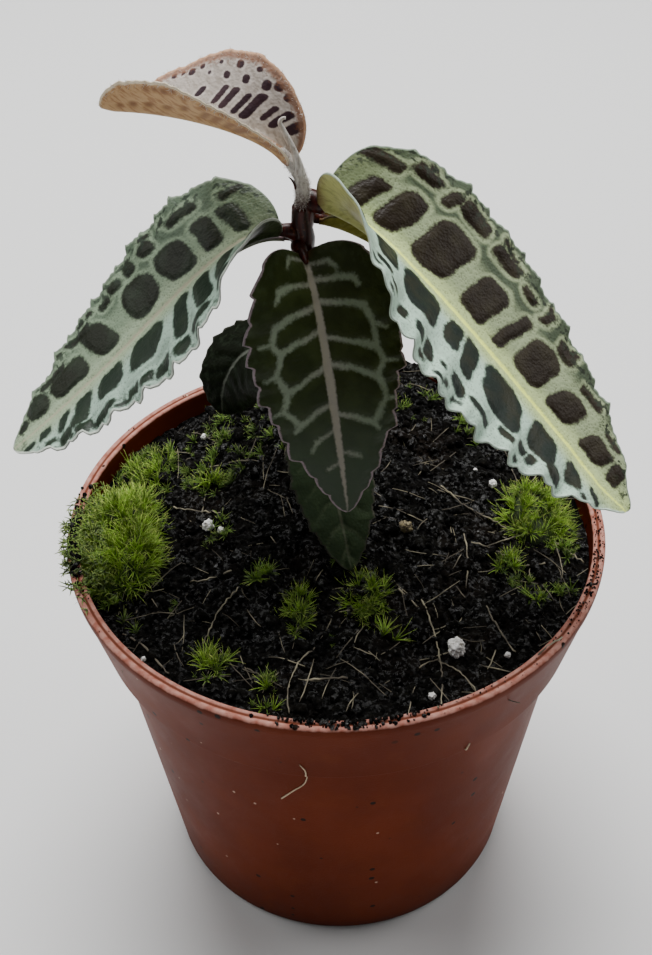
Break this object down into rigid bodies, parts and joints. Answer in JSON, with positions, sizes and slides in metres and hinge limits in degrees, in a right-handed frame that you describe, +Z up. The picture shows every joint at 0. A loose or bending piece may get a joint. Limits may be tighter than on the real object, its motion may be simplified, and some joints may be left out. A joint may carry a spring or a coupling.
{
  "type": "potted labisia",
  "caption": "Young labisia with drooping net-veined toothed leaves on one stem, in a small tapered plastic nursery pot filled with peat and moss.",
  "frame": {"origin": "centre of the pot's base, on the surface that the pot stands on", "axes": "+Z up along the pot's axis; -Y towards the picture's camera; +X to the picture's right"},
  "size_m": [0.0947, 0.09, 0.1526],
  "materials": {
    "pot_plastic": "satin brown terracotta moulded plastic",
    "peat": "moist black-brown fibrous peat",
    "stem_bark": "dark red-brown green wood, slightly waxy",
    "leaf_green": "dark green leaf with a paler net of veins, satin",
    "leaf_pink": "young leaf, pinkish tan, matte",
    "moss": "living moss, matte",
    "perlite": "white expanded mineral grain, matte"
  },
  "bodies": {
    "root": {"pot": "pot_plastic", "soil": "peat", "stem": "stem_bark", "leaf_right": "leaf_green", "leaf_left": "leaf_green", "leaf_front": "leaf_green", "leaf_young": "leaf_pink", "leaf_low_front": "leaf_green", "leaf_low_left": "leaf_green", "leaf_back_left": "leaf_green", "leaf_back_right": "leaf_green", "moss_left": "moss", "moss_right": "moss", "moss_front": "moss", "moss_middle": "moss", "perlite_grain": "perlite"}
  },
  "joints": []
}
